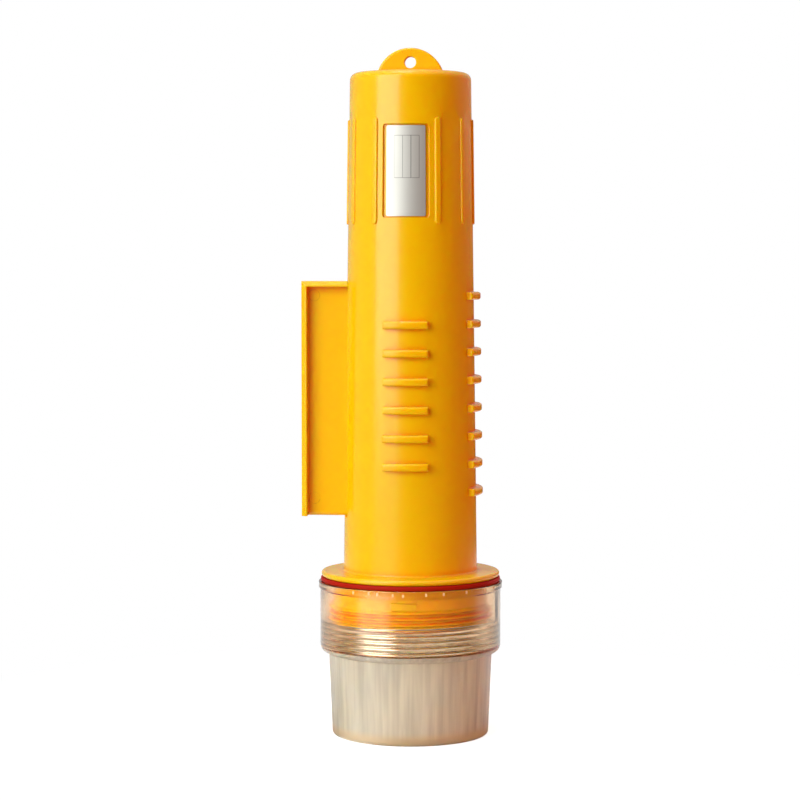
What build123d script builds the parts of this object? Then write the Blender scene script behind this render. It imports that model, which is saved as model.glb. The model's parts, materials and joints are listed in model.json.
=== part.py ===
from build123d import *
import os
from math import asin, cos, degrees, radians, sin

# Net tracking buoy: a tapered float tube that stands on its screw cap.
# Millimetres. +Z is up along the tube, the front with the label faces -Y, and the bracket is on the -X side.
# The origin is the centre of the cap's flat bottom.

# Screw cap: a cup with its mouth up, narrow below and wider where the thread is
cap_height = 81.5
cap_waist_height = 42.6
cap_wall = 2.6
cap_floor = 3.0
cap_shoulder_step = 4.6
cap_shoulder_rise = 1.0
cap_shoulder_round = 4.4
cap_base_taper = 1.8
cap_base_round = 1.8
rim_bead_height = 4.0
rim_bead_proud = 0.8

# Flange and screw spigot at the foot of the housing, with room for the thread between spigot and cap
spigot_radius = 41.0
spigot_length = 25.0
spigot_wall = 3.4
spigot_round = 1.0
thread_room = 4.2
flange_inset = 0.7
flange_thickness = 3.0
flange_round = 1.4

# Seal ring, squeezed between the cap's rim and the flange
seal_thickness = 2.4
seal_clearance = 0.1
seal_proud = 0.4
seal_round = 0.9

# Float tube, tapering from its foot to its closed top
tube_length = 261.9
tube_foot_radius = 35.3
tube_top_radius = 31.8
tube_top_round = 4.0
tube_foot_round = 1.0
tube_wall = 4.0

# Hanging lug on the closed top: how far its centre lies below the top, and its hole above that centre
lug_radius = 18.0
lug_drop = 4.9
lug_thickness = 7.0
lug_hole_radius = 3.1
lug_hole_rise = 10.4
lug_edge_round = 1.2

# Upright ribs round the upper tube, one every rib_step degrees except where the label sits
rib_step = 30
rib_width = 3.3
rib_length = 54.9
rib_drop = 51.8
rib_proud = 0.9
rib_root = 1.5
rib_edge_round = 0.6

# Label pocket at the front, and the plate in it, which leaves a margin of the pocket's floor bare all round
pocket_width = 24.0
pocket_length = 48.0
pocket_drop = 52.0
pocket_depth = 1.2
pocket_corner = 1.5
label_side_margin = 1.8
label_end_margin = 0.75
label_thickness = 0.8
label_seat_gap = 0.1
label_corner = 0.8

# Grip rungs across the tube: the side they face in degrees round from the front, the row that the
# lowest one is in, how many there are, and half of the angle that each one spans
rung_sets = [
    {"facing": 0, "first_row": 1, "count": 6, "half_span": 19},
    {"facing": 90, "first_row": 0, "count": 8, "half_span": 25},
    {"facing": 180, "first_row": 1, "count": 6, "half_span": 19},
]
rung_rows = 8
rung_rise = 13.9
rung_drop = 7.61
rung_proud = 3.6
rung_height = 4.0
rung_root = 1.5
rung_round = 1.2

# Side bracket: a web with a flange along its outer edge and across its top
bracket_rise = 28.7
bracket_drop = 109.0
bracket_reach = 57.2
bracket_seat = 32.2
bracket_flange = 2.9
bracket_depth = 16.0
bracket_web = 5.0
bracket_web_round = 2.0
bracket_bevel_face = 2.2
bracket_bevel_side = 1.4
bond_gap = 0.1

# End plate that closes the spigot, and the controls on its underside
plate_thickness = 3.0
plate_recess = 1.5
plate_clearance = 0.3
plate_ledge = 3.0
control_circle = 25.5
control_clearance = 0.15
# Each control: its place round the plate in degrees, its head's radius and height, and its neck's radius
controls = {
    "charging_socket": {"angle": -90, "head_radius": 4.6, "head_height": 3.2, "neck_radius": 3.4},
    "power_button": {"angle": 30, "head_radius": 5.0, "head_height": 2.6, "neck_radius": 3.6},
    "indicator_lens": {"angle": 150, "head_radius": 3.6, "head_height": 3.0, "neck_radius": 2.4},
}

# Battery pack, a plain block of cells standing on the end plate inside the tube
battery_width = 37.0
battery_height = 130.0
battery_corner = 9.0
battery_gap = 0.2

# Radii that follow from the spigot outwards
cap_mouth_radius = spigot_radius + thread_room + cap_wall
cap_waist_radius = cap_mouth_radius - cap_shoulder_step
cap_base_radius = cap_waist_radius - cap_base_taper
flange_radius = cap_mouth_radius - flange_inset
seal_outer_radius = flange_radius + seal_proud

# Levels that follow from the cap upwards, and from the tube's top downwards
seal_bottom = cap_height + seal_clearance
flange_bottom = seal_bottom + seal_thickness + seal_clearance
flange_top = flange_bottom + flange_thickness
spigot_bottom = flange_bottom - spigot_length
plate_bottom = spigot_bottom + plate_recess
plate_top = plate_bottom + plate_thickness
tube_top_height = flange_top + tube_length
lug_centre_height = tube_top_height - lug_drop
lug_hole_height = lug_centre_height + lug_hole_rise
rib_centre_height = tube_top_height - rib_drop
pocket_centre_height = tube_top_height - pocket_drop
bracket_top = tube_top_height - bracket_drop
bracket_bottom = flange_top + bracket_rise
bracket_height = bracket_top - bracket_bottom
rung_lowest = bracket_bottom + rung_rise
rung_pitch = (bracket_height - rung_rise - rung_drop) / (rung_rows - 1)
tube_slope = (tube_foot_radius - tube_top_radius) / tube_length


def tube_radius(height):
    """Outer radius of the tapered tube at a height."""
    return tube_foot_radius - tube_slope * (height - flange_top)


os.makedirs("parts", exist_ok=True)

# Screw cap: the outside turned in one piece, then the cup's inside taken out
with BuildPart() as cap:
    bead_bottom = cap_height - rim_bead_height
    bead_radius = cap_mouth_radius + rim_bead_proud
    shoulder_height = cap_waist_height + cap_shoulder_rise
    with BuildSketch(Plane.XZ):
        with BuildLine():
            FilletPolyline(
                (0, 0),
                (cap_base_radius, 0),
                (cap_waist_radius, cap_waist_height),
                (cap_mouth_radius, shoulder_height),
                (cap_mouth_radius, bead_bottom),
                (bead_radius, bead_bottom + rim_bead_proud),
                (bead_radius, cap_height),
                (0, cap_height),
                radius=[0, cap_base_round, 0, cap_shoulder_round, 0, rim_bead_proud, rim_bead_proud / 2, 0],
                close=True,
            )
        make_face()
    revolve(axis=Axis.Z)
    with BuildSketch(Plane.XZ):
        with BuildLine():
            FilletPolyline(
                (0, cap_floor),
                (cap_base_radius - cap_wall, cap_floor),
                (cap_waist_radius - cap_wall, cap_waist_height + cap_wall),
                (cap_mouth_radius - cap_wall, shoulder_height + cap_wall),
                (cap_mouth_radius - cap_wall, cap_height),
                (0, cap_height),
                radius=[0, cap_base_round, 0, cap_shoulder_round - cap_wall, 0, 0],
                close=True,
            )
        make_face()
    revolve(axis=Axis.Z, mode=Mode.SUBTRACT)
cap.part.label = "cap"

# Seal ring: a flat ring round the spigot with a rounded outer edge
with BuildPart() as seal_ring:
    seal_inner_radius = spigot_radius + seal_clearance
    with BuildSketch(Plane.XZ):
        with BuildLine():
            FilletPolyline(
                (seal_inner_radius, seal_bottom),
                (seal_outer_radius, seal_bottom),
                (seal_outer_radius, seal_bottom + seal_thickness),
                (seal_inner_radius, seal_bottom + seal_thickness),
                radius=[0, seal_round, seal_round, 0],
                close=True,
            )
        make_face()
    revolve(axis=Axis.Z)
seal_ring.part.label = "seal_ring"

# Outside of the tapered tube alone, which the housing and the bracket's seat both take their shape from
with BuildPart() as tube_body:
    with BuildSketch(Plane.XZ):
        with BuildLine():
            FilletPolyline(
                (0, flange_bottom),
                (tube_radius(flange_bottom), flange_bottom),
                (tube_top_radius, tube_top_height),
                (0, tube_top_height),
                radius=[0, 0, tube_top_round, 0],
                close=True,
            )
        make_face()
    revolve(axis=Axis.Z)
    # Flat on the side where the bracket is fixed
    with BuildSketch(Plane.XY.offset(bracket_bottom)):
        with Locations((-bracket_seat, 0)):
            Rectangle(tube_foot_radius, 2 * tube_foot_radius, align=(Align.MAX, Align.CENTER))
    extrude(amount=bracket_height - bracket_flange, mode=Mode.SUBTRACT)

# Upright ribs, each a long slot shape lying along the tube's slope
ribs = []
for rib_index in range(1, round(360 / rib_step)):
    rib_angle = radians(rib_index * rib_step - 90)
    rib_reach = tube_radius(rib_centre_height) + rib_proud
    rib_plane = Plane(
        origin=(rib_reach * cos(rib_angle), rib_reach * sin(rib_angle), rib_centre_height),
        x_dir=(-sin(rib_angle), cos(rib_angle), 0),
        z_dir=(cos(rib_angle), sin(rib_angle), tube_slope),
    )
    with BuildPart() as rib:
        with BuildSketch(rib_plane):
            SlotOverall(rib_length, rib_width, rotation=90)
        extrude(amount=-(rib_proud + rib_root))
        outer_face = rib.faces().sort_by_distance(rib_plane.origin)[0]
        fillet(outer_face.edges(), rib_edge_round)
    ribs.append(rib.part)

# Grip rungs, each a bar bent round the tube with its outer edges rounded
rungs = []
for rung_set in rung_sets:
    rung_plane = Plane.XZ.rotated((0, 0, rung_set["facing"] - 90 - rung_set["half_span"]))
    for rung_row in range(rung_set["first_row"], rung_set["first_row"] + rung_set["count"]):
        rung_level = rung_lowest + rung_row * rung_pitch
        rung_outside = tube_radius(rung_level) + rung_proud
        with BuildPart() as rung:
            with BuildSketch(rung_plane):
                with Locations((rung_outside, rung_level)):
                    Rectangle(rung_proud + rung_root, rung_height, align=(Align.MAX, Align.CENTER))
            revolve(axis=Axis.Z, revolution_arc=2 * rung_set["half_span"])
            outer_face = rung.faces().filter_by(GeomType.CYLINDER).sort_by(SortBy.AREA)[-1]
            fillet(outer_face.edges(), rung_round)
        rungs.append(rung.part)

# Label pocket: a shallow sector of the tube's wall with rounded corners, which the housing loses
pocket_half_angle = degrees(asin(pocket_width / 2 / tube_radius(pocket_centre_height)))
pocket_bottom = pocket_centre_height - pocket_length / 2
pocket_top = pocket_centre_height + pocket_length / 2
with BuildPart() as label_pocket:
    with BuildSketch(Plane.XZ.rotated((0, 0, -90 - pocket_half_angle))):
        with BuildLine():
            Polyline(
                (tube_radius(pocket_bottom) - pocket_depth, pocket_bottom),
                (tube_radius(pocket_bottom) + pocket_depth, pocket_bottom),
                (tube_radius(pocket_top) + pocket_depth, pocket_top),
                (tube_radius(pocket_top) - pocket_depth, pocket_top),
                close=True,
            )
        make_face()
    revolve(axis=Axis.Z, revolution_arc=2 * pocket_half_angle)
    fillet(label_pocket.edges().filter_by(lambda edge: edge.length < 3 * pocket_depth), pocket_corner)

# Hanging lug: a disc standing in the closed top, with its rim rounded
with BuildPart() as lug:
    with BuildSketch(Plane.XZ):
        with Locations((0, lug_centre_height)):
            Circle(lug_radius)
        with Locations((0, tube_top_height - tube_wall / 2)):
            Rectangle(2 * lug_radius, 2 * lug_radius, align=(Align.CENTER, Align.MIN), mode=Mode.INTERSECT)
    extrude(amount=lug_thickness / 2, both=True)
    fillet(lug.edges().filter_by(GeomType.CIRCLE), lug_edge_round)

# Housing: tube, ribs, rungs, lug, flange and spigot moulded in one
with BuildPart() as housing:
    add(tube_body.part)
    # Flange and spigot
    with BuildSketch(Plane.XZ):
        with BuildLine():
            FilletPolyline(
                (0, spigot_bottom),
                (spigot_radius, spigot_bottom),
                (spigot_radius, flange_bottom),
                (flange_radius, flange_bottom),
                (flange_radius, flange_top),
                (tube_foot_radius, flange_top),
                (tube_foot_radius, flange_top + 2 * tube_foot_round),
                (0, flange_top + 2 * tube_foot_round),
                radius=[0, spigot_round, 0, flange_round, flange_round, tube_foot_round, 0, 0],
                close=True,
            )
        make_face()
    revolve(axis=Axis.Z)
    # Inside of the tube and the spigot
    ledge_radius = spigot_radius - spigot_wall - plate_ledge
    with BuildSketch(Plane.XZ):
        with BuildLine():
            Polyline(
                (0, spigot_bottom),
                (spigot_radius - spigot_wall, spigot_bottom),
                (spigot_radius - spigot_wall, plate_top),
                (ledge_radius, plate_top),
                (ledge_radius, flange_bottom),
                (tube_foot_radius - tube_wall, flange_top),
                (tube_top_radius - tube_wall, tube_top_height - tube_wall),
                (0, tube_top_height - tube_wall),
                close=True,
            )
        make_face()
    revolve(axis=Axis.Z, mode=Mode.SUBTRACT)
    # Lug, ribs and rungs on, label pocket out
    add(lug.part)
    add(ribs)
    add(rungs)
    add(label_pocket.part, mode=Mode.SUBTRACT)
    # Hole in the lug
    with BuildSketch(Plane.XZ):
        with Locations((0, lug_hole_height)):
            Circle(lug_hole_radius)
    extrude(amount=lug_thickness, both=True, mode=Mode.SUBTRACT)
housing.part.label = "housing"

# Label plate, curved like the bottom of its pocket
with BuildPart() as label_plate:
    label_half_width = pocket_width / 2 - label_side_margin
    label_half_angle = degrees(asin(label_half_width / tube_radius(pocket_centre_height)))
    label_bottom = pocket_bottom + label_end_margin
    label_top = pocket_top - label_end_margin
    label_inset = pocket_depth - label_seat_gap
    with BuildSketch(Plane.XZ.rotated((0, 0, -90 - label_half_angle))):
        with BuildLine():
            Polyline(
                (tube_radius(label_bottom) - label_inset, label_bottom),
                (tube_radius(label_bottom) - label_inset + label_thickness, label_bottom),
                (tube_radius(label_top) - label_inset + label_thickness, label_top),
                (tube_radius(label_top) - label_inset, label_top),
                close=True,
            )
        make_face()
    revolve(axis=Axis.Z, revolution_arc=2 * label_half_angle)
    fillet(label_plate.edges().filter_by(lambda edge: edge.length < 2 * label_thickness), label_corner)
label_plate.part.label = "label_plate"

# Side bracket: a flange along the outer edge and across the top, and a web between them and the tube
with BuildPart() as side_bracket:
    bracket_root = bracket_seat - bracket_flange
    with BuildSketch(Plane.XZ):
        with BuildLine():
            Polyline(
                (-bracket_root, bracket_top),
                (-bracket_reach, bracket_top),
                (-bracket_reach, bracket_bottom),
                (-bracket_reach + bracket_flange, bracket_bottom),
                (-bracket_reach + bracket_flange, bracket_top - bracket_flange),
                (-bracket_root, bracket_top - bracket_flange),
                close=True,
            )
        make_face()
    extrude(amount=bracket_depth / 2, both=True)
    # Bevels along the outer edges of its front and back, mitred at the corner as on a picture frame
    for end in (0, -1):
        broad_face = side_bracket.faces().filter_by(Axis.Y).sort_by(Axis.Y)[end]
        outer_edges = broad_face.edges().group_by(Axis.Z)[-1] + broad_face.edges().group_by(Axis.X)[0]
        chamfer(outer_edges, length=bracket_bevel_face, length2=bracket_bevel_side, reference=broad_face)
    # The top flange ends on the tube's own slope, a bond line away from it
    with BuildSketch(Plane.XZ):
        with BuildLine():
            Polyline(
                (0, bracket_bottom),
                (tube_radius(bracket_bottom) + bond_gap, bracket_bottom),
                (tube_radius(bracket_top + bracket_flange) + bond_gap, bracket_top + bracket_flange),
                (0, bracket_top + bracket_flange),
                close=True,
            )
        make_face()
    revolve(axis=Axis.Z, mode=Mode.SUBTRACT)
    # The web stands on the flat on the tube's side, with its foot rounded
    with BuildSketch(Plane.XZ):
        with Locations((-bracket_seat - bond_gap, bracket_bottom)):
            Rectangle(
                bracket_reach - bracket_flange / 2 - bracket_seat - bond_gap,
                bracket_height - bracket_flange,
                align=(Align.MAX, Align.MIN),
            )
    extrude(amount=bracket_web / 2, both=True)
    foot_edges = side_bracket.edges().filter_by(Axis.X).group_by(Axis.Z)[0]
    fillet([edge for edge in foot_edges if edge.length > 2 * bracket_flange], bracket_web_round)
side_bracket.part.label = "side_bracket"

# End plate, let into the spigot's mouth, with a hole for the neck of each control
with BuildPart() as end_plate:
    plate_radius = spigot_radius - spigot_wall - plate_clearance
    with BuildSketch(Plane.XY.offset(plate_bottom)):
        Circle(plate_radius)
        for control in controls.values():
            with PolarLocations(control_circle, 1, start_angle=control["angle"]):
                Circle(control["neck_radius"] + control_clearance, mode=Mode.SUBTRACT)
    extrude(amount=plate_thickness)
end_plate.part.label = "end_plate"

# Controls: each a round head under the plate and a neck up through it
control_parts = []
for control_name, control in controls.items():
    control_x = control_circle * cos(radians(control["angle"]))
    control_y = control_circle * sin(radians(control["angle"]))
    with BuildPart() as control_part:
        with BuildSketch(Plane.XY.offset(plate_bottom)):
            with Locations((control_x, control_y)):
                Circle(control["head_radius"])
        extrude(amount=-control["head_height"])
        with BuildSketch(Plane.XY.offset(plate_bottom)):
            with Locations((control_x, control_y)):
                Circle(control["neck_radius"])
        extrude(amount=plate_thickness)
    control_part.part.label = control_name
    control_parts.append(control_part.part)

# Battery pack standing on the end plate
with BuildPart() as battery_pack:
    with BuildSketch(Plane.XY.offset(plate_top + battery_gap)):
        RectangleRounded(battery_width, battery_width, battery_corner)
    extrude(amount=battery_height)
battery_pack.part.label = "battery_pack"

# One file for each piece
pieces = [
    cap.part,
    seal_ring.part,
    housing.part,
    label_plate.part,
    side_bracket.part,
    end_plate.part,
    battery_pack.part,
] + control_parts
for piece in pieces:
    export_step(piece, f"parts/{piece.label}.step")
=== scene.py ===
"""Details, finishes and studio stage of a net tracking buoy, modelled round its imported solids."""

import json
import random
from contextlib import contextmanager
from functools import reduce
from math import atan2, cos, hypot, pi, radians, sin, tan

import bmesh
import bpy
from bpy.props import FloatProperty, FloatVectorProperty, IntProperty, PointerProperty
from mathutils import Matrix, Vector


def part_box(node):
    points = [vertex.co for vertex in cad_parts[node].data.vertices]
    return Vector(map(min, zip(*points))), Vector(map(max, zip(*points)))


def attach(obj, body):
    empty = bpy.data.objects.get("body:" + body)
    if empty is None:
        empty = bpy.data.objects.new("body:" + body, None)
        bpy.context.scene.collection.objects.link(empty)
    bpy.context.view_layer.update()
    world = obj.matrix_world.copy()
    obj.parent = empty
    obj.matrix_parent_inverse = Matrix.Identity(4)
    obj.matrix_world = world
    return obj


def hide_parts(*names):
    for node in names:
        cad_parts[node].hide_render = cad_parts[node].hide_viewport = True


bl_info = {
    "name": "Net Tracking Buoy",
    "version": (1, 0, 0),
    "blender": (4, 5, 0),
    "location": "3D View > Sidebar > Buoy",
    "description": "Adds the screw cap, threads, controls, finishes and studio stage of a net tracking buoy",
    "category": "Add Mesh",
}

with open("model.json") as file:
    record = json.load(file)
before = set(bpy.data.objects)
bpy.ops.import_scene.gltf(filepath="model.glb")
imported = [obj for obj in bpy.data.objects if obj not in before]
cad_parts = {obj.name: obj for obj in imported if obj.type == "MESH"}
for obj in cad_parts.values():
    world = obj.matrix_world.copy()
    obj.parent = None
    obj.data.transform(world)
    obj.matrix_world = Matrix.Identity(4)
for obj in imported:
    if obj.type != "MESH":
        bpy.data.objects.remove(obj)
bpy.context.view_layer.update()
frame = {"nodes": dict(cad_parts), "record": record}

# Sizes that the solids set, in metres
MM = 0.001
CAP_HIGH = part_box("cap")[1]
HOUSING_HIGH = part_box("housing")[1]
PLATE_LOW, PLATE_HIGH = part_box("end_plate")
LABEL_LOW, LABEL_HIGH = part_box("label_plate")
SCREW_LEAD = frame["record"]["behaviour"]["couplings"][0]["ratio"] * 2 * pi
CAP_HEIGHT = CAP_HIGH.z
BEAD_RADIUS = CAP_HIGH.x
BEAD_PROUD = 0.8 * MM
BEAD_HEIGHT = 4.0 * MM
MOUTH_RADIUS = BEAD_RADIUS - BEAD_PROUD
SHOULDER_STEP = 4.6 * MM
SHOULDER_RISE = 1.0 * MM
SHOULDER_ROUND = 4.4 * MM
WAIST_RADIUS = MOUTH_RADIUS - SHOULDER_STEP
WAIST_HEIGHT = 43.6 * MM
BASE_RADIUS = WAIST_RADIUS - 1.8 * MM
BASE_ROUND = 1.8 * MM
CAP_WALL = 2.6 * MM
CAP_FLOOR = 3.0 * MM
SPIGOT_RADIUS = 41.0 * MM

# Height up to which the cap is milky, and how deep a thread or pad sits in the wall that carries it
MILKY_TOP = WAIST_HEIGHT + 3.9 * MM
WALL_SEAT = 0.3 * MM

# Inner ribs of the cap: the shares of the full depth that they may have, and the seed that deals them out
RIB_SHARES = (0.6, 0.8, 1.0, 1.2)
RIB_SEED = 5

# Upright lines that rule the label's blank fields: place across the plate, and how dark
FIELD_COLUMNS = ((-5.9 * MM, 0.25), (-1.6 * MM, 0.6), (2.7 * MM, 0.9), (6.9 * MM, 0.6))

# Level lines that close the fields: heights over the label's centre, and how dark
FIELD_BOTTOM = -3.6 * MM
FIELD_TOP = 18.1 * MM
FIELD_ROW_DEPTH = 0.6

# Pips under the cap's rim: degrees round from the front, and how far each sits up or down
PIP_ANGLES = (
    (-33.2, 0.0),
    (-21.9, 0.2 * MM),
    (-16.3, 0.0),
    (-6.4, -0.3 * MM),
    (0.0, -0.5 * MM),
    (14.1, 0.0),
    (25.3, 0.1 * MM),
    (41.4, 0.2 * MM),
    (57.6, 0.0),
    (68.7, 0.3 * MM),
)

# Faint rings that ejector pins left on the bracket's web, and a dot on the lug: centre and radius
PIN_MARKS = (
    ((-50.9 * MM, -2.5 * MM, 232.5 * MM), 3.0 * MM),
    ((-50.9 * MM, -2.5 * MM, 125.1 * MM), 3.0 * MM),
    ((-7.4 * MM, -3.5 * MM, 357.7 * MM), 0.3 * MM),
)
PIN_MARK_STRENGTH = 0.5

# Finish shared by the plastics: relief of the skin, how far its gloss varies, and refraction
SKIN_RELIEF = 0.05 * MM
ROUGHNESS_SPREAD = 0.05
PLASTIC_IOR = 1.46

# Stage: surfaces that a ray meets in both walls of the cap, and where the floor's bright patch lies
BOTH_WALLS = 3.5
GLARE_AZIMUTH = radians(42)

# Steps along each rounded corner of an outline, and across a thread's ridge
ARC_STEPS = 5
THREAD_PROFILE_STEPS = 8

# Distances under which points are welded, a face is flush with another, and a place counts as met
WELD = 0.001 * MM
FLUSH = 0.01 * MM
NEARLY = 0.05 * MM

# Edges sharper than this stay sharp
SMOOTH_ANGLE = radians(35)


class BuoyCapSettings(bpy.types.PropertyGroup):
    """Sizes of the details inside the screw cap."""

    rib_count: IntProperty(
        name="Rib Count", description="Upright ribs round the inside of the lower cup", default=54, min=18, max=72
    )
    rib_depth: FloatProperty(
        name="Rib Depth", description="How far each rib stands in from the wall", default=0.9 * MM, unit="LENGTH"
    )
    thread_bottom: FloatProperty(
        name="Thread Bottom", description="Height at which the cap's thread starts", default=46.7 * MM, unit="LENGTH"
    )
    thread_turns: IntProperty(name="Thread Turns", description="Turns of thread in the cap", default=5, min=2, max=10)
    thread_depth: FloatProperty(
        name="Thread Depth", description="How far the cap's thread stands in", default=1.2 * MM, unit="LENGTH"
    )


class BuoySpigotSettings(bpy.types.PropertyGroup):
    """Sizes of the thread round the housing's spigot."""

    thread_bottom: FloatProperty(
        name="Thread Bottom",
        description="Height at which the spigot's thread starts",
        default=61.0 * MM,
        unit="LENGTH",
    )
    thread_turns: IntProperty(
        name="Thread Turns", description="Turns of thread on the spigot", default=3, min=1, max=4
    )
    thread_depth: FloatProperty(
        name="Thread Depth", description="How far the spigot's thread stands out", default=2.4 * MM, unit="LENGTH"
    )


class BuoyFinishSettings(bpy.types.PropertyGroup):
    """Colours of the buoy's materials."""

    housing_color: FloatVectorProperty(
        name="Housing", description="Moulded yellow plastic", subtype="COLOR", size=4, default=(0.885, 0.545, 0.0, 1)
    )
    # Painted shade: the colour painted into the housing's inner corners, in place of shade and the orange light the
    # yellow plastic throws on itself there
    painted_crease_shade_color: FloatVectorProperty(
        name="Housing Painted Crease Shade",
        description="Yellow plastic in its inner corners, where it lights itself",
        subtype="COLOR",
        size=4,
        default=(0.90, 0.28, 0.0, 1),
    )
    clear_color: FloatVectorProperty(
        name="Cap Mouth", description="Clear plastic", subtype="COLOR", size=4, default=(0.99, 0.97, 0.93, 1)
    )
    edge_color: FloatVectorProperty(
        name="Cap Edge",
        description="Clear plastic seen along its surface",
        subtype="COLOR",
        size=4,
        default=(0.95, 0.60, 0.26, 1),
    )
    thick_color: FloatVectorProperty(
        name="Cap Foot",
        description="Milky plastic where it is thick",
        subtype="COLOR",
        size=4,
        default=(0.98, 0.77, 0.47, 1),
    )
    tint_color: FloatVectorProperty(
        name="Cap Depth Tint",
        description="Colour that the clear plastic takes on with depth",
        subtype="COLOR",
        size=4,
        default=(0.95, 0.62, 0.14, 1),
    )
    milky_color: FloatVectorProperty(
        name="Cap Cup", description="Milky plastic", subtype="COLOR", size=4, default=(0.86, 0.845, 0.73, 1)
    )
    seal_color: FloatVectorProperty(
        name="Seal", description="Red silicone rubber", subtype="COLOR", size=4, default=(0.40, 0.010, 0.002, 1)
    )
    label_color: FloatVectorProperty(
        name="Label", description="Silver label plate", subtype="COLOR", size=4, default=(0.57, 0.58, 0.53, 1)
    )
    line_color: FloatVectorProperty(
        name="Label Lines",
        description="Lines that rule the label's blank fields",
        subtype="COLOR",
        size=4,
        default=(0.10, 0.10, 0.09, 1),
    )
    mark_color: FloatVectorProperty(
        name="Pin Marks",
        description="Marks that ejector pins left",
        subtype="COLOR",
        size=4,
        default=(0.45, 0.18, 0.0, 1),
    )


class BuoyStageSettings(bpy.types.PropertyGroup):
    """Camera and light, matched to the photograph."""

    focal_pixels: FloatProperty(name="Focal Length", description="In pixels of an 800 pixel frame", default=2489)
    distance: FloatProperty(
        name="Distance", description="From the camera to the buoy's axis", default=1.314, unit="LENGTH"
    )
    height: FloatProperty(name="Height", description="Camera height over the floor", default=0.2547, unit="LENGTH")
    azimuth: FloatProperty(
        name="Azimuth", description="Camera's place round from the front", default=radians(4.5), subtype="ANGLE"
    )
    horizon_row: FloatProperty(name="Horizon Row", description="Pixel row at the camera's own height", default=253.2)
    axis_column: FloatProperty(name="Axis Column", description="Pixel column of the buoy's axis", default=410.5)
    key_power: FloatProperty(name="Key Light", description="Power of the main lamp", default=27, unit="POWER")
    fill_power: FloatProperty(
        name="Fill Light", description="Power of the lamp on the right", default=7.0, unit="POWER"
    )
    top_power: FloatProperty(name="Top Light", description="Power of the lamp overhead", default=12.0, unit="POWER")
    back_power: FloatProperty(name="Back Light", description="Power of the lamp behind", default=17.0, unit="POWER")
    fill_color: FloatVectorProperty(
        name="Fill Color",
        description="Warm light thrown back from the right",
        subtype="COLOR",
        default=(1, 0.15, 0.03),
    )
    ambient: FloatProperty(name="Ambient", description="Strength of the light from all round", default=0.12)
    ambient_color: FloatVectorProperty(
        name="Ambient Color",
        description="Colour of the light from all round",
        subtype="COLOR",
        default=(1, 0.28, 0.12),
    )


@contextmanager
def edit_mode(piece):
    """Opens a piece in edit mode, set to vertices with none selected, and leaves it again."""
    bpy.ops.object.select_all(action="DESELECT")
    bpy.context.view_layer.objects.active = piece
    piece.select_set(True)
    bpy.ops.object.mode_set(mode="EDIT")
    bpy.ops.mesh.select_mode(type="VERT")
    bpy.ops.mesh.select_all(action="DESELECT")
    yield
    bpy.ops.object.mode_set(mode="OBJECT")


def select_vertices(piece, wanted):
    """In edit mode, selects the vertices for which wanted(vertex) is true, and nothing else."""
    bpy.ops.mesh.select_all(action="DESELECT")
    mesh = bmesh.from_edit_mesh(piece.data)
    for vertex in mesh.verts:
        vertex.select = wanted(vertex)
    mesh.select_flush(True)
    bmesh.update_edit_mesh(piece.data)


def select_faces(piece, wanted):
    """In edit mode, selects the faces for which wanted(face) is true, and nothing else."""
    bpy.ops.mesh.select_all(action="DESELECT")
    bpy.ops.mesh.select_mode(type="FACE")
    mesh = bmesh.from_edit_mesh(piece.data)
    for face in mesh.faces:
        face.select = wanted(face)
    bmesh.update_edit_mesh(piece.data)


def rounded(corners):
    """Returns the outline through (radius, height, rounding) corners, with an arc at each rounded one."""
    points = []
    for index, (radius, height, rounding) in enumerate(corners):
        corner = Vector((radius, height))
        if not rounding:
            points.append(corner)
            continue
        before = (Vector(corners[index - 1][:2]) - corner).normalized()
        after = (Vector(corners[index + 1][:2]) - corner).normalized()
        half_turn = (pi - before.angle(after)) / 2
        reach = rounding * tan(half_turn)
        centre = corner + (before + after).normalized() * rounding / cos(half_turn)
        first_arm = corner + before * reach - centre
        last_arm = corner + after * reach - centre
        for step in range(ARC_STEPS + 1):
            points.append(centre + rounding * first_arm.slerp(last_arm, step / ARC_STEPS))
    return points


def drawn(name, outline):
    """Starts a piece as a line of vertices through (radius, height) points, by extruding one vertex."""
    bpy.ops.object.select_all(action="DESELECT")
    bpy.ops.mesh.primitive_plane_add(size=MM, location=(0, 0, 0))
    piece = bpy.context.object
    piece.name = name
    piece.data.name = name
    with edit_mode(piece):
        bpy.ops.mesh.select_all(action="SELECT")
        bpy.ops.mesh.merge(type="CENTER")
        bpy.ops.transform.translate(value=(outline[0][0], 0, outline[0][1]))
        for (radius, height), (next_radius, next_height) in zip(outline, outline[1:]):
            step = (next_radius - radius, 0, next_height - height)
            bpy.ops.mesh.extrude_region_move(TRANSFORM_OT_translate={"value": step})
    return piece


def turned(name, outline, steps, centre=(0, 0, 0)):
    """Turns an outline of (radius, height) points into a closed piece, upright at a centre."""
    piece = drawn(name, outline)
    with edit_mode(piece):
        bpy.ops.mesh.select_all(action="SELECT")
        bpy.ops.mesh.spin(steps=steps, angle=2 * pi, center=(0, 0, 0), axis=(0, 0, 1))
        bpy.ops.mesh.select_all(action="SELECT")
        bpy.ops.mesh.remove_doubles(threshold=WELD)
        bpy.ops.mesh.normals_make_consistent(inside=False)
        bpy.ops.transform.translate(value=centre)
    return piece


def swept(name, profile, first_angle, last_angle, steps):
    """Sweeps a closed profile of (radius, height) points round the Z axis between two angles."""
    piece = drawn(name, profile)
    with edit_mode(piece):
        bpy.ops.mesh.select_all(action="SELECT")
        bpy.ops.mesh.edge_face_add()
        bpy.ops.mesh.spin(steps=steps, angle=first_angle - last_angle, center=(0, 0, 0), axis=(0, 0, 1))
        bpy.ops.mesh.select_all(action="SELECT")
        bpy.ops.mesh.remove_doubles(threshold=WELD)
        bpy.ops.mesh.normals_make_consistent(inside=False)
    turn(piece, first_angle)
    return piece


def turn(piece, angle):
    """Turns a piece's mesh round the Z axis."""
    with edit_mode(piece):
        bpy.ops.mesh.select_all(action="SELECT")
        bpy.ops.transform.rotate(value=-angle, orient_axis="Z", center_override=(0, 0, 0))


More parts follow.
